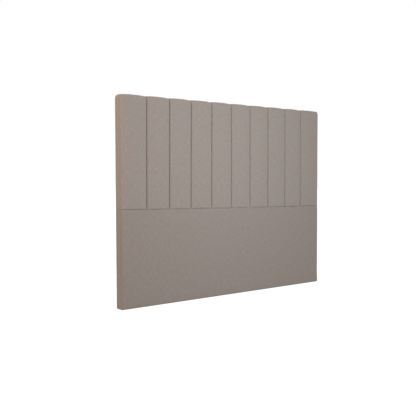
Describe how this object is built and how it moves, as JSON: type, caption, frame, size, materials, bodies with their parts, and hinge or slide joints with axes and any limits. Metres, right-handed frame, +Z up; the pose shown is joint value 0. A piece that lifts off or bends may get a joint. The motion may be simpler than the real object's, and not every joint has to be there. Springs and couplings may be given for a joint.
{
  "type": "upholstered headboard",
  "caption": "Rectangular upholstered headboard: vertical padded channels above a horizontal seam, a plain padded lower half, a pine frame inside and keyhole hangers behind.",
  "frame": {"origin": "middle of the base, in the plane of the bottom edge, centred over the width and the full depth with the wall brackets", "axes": "+X along the width, -Y the padded front, +Z up"},
  "size_m": [1.6, 0.0716, 1.2],
  "materials": {
    "upholstery_fabric": "matte",
    "foam": "matte",
    "wadding": "matte",
    "tape": "matte",
    "hardboard": "satin",
    "pine": "satin",
    "plywood": "satin",
    "beech": "satin",
    "dust_cloth": "matte",
    "zinc_steel": "satin",
    "screw_steel": "satin"
  },
  "bodies": {
    "root": {"cover_upper": "upholstery_fabric", "cover_lower": "upholstery_fabric", "foam_channel_01": "foam", "foam_channel_02": "foam", "foam_channel_03": "foam", "foam_channel_04": "foam", "foam_channel_05": "foam", "foam_channel_06": "foam", "foam_channel_07": "foam", "foam_channel_08": "foam", "foam_channel_09": "foam", "foam_channel_10": "foam", "foam_lower": "foam", "wadding_left": "wadding", "wadding_right": "wadding", "wadding_top": "wadding", "seam_tapes": "tape", "board_upper": "hardboard", "board_lower": "hardboard", "stile_left": "pine", "stile_right": "pine", "top_rail": "pine", "middle_rail": "pine", "bottom_rail": "pine", "stud_upper_left": "pine", "stud_upper_right": "pine", "stud_lower_left": "pine", "stud_lower_right": "pine", "corner_block_top_left": "plywood", "corner_block_top_right": "plywood", "corner_block_bottom_left": "plywood", "corner_block_bottom_right": "plywood", "frame_tenons": "beech", "dust_cover": "dust_cloth", "hanger_bracket_left": "zinc_steel", "hanger_bracket_right": "zinc_steel", "hanger_screws": "screw_steel"}
  },
  "joints": []
}
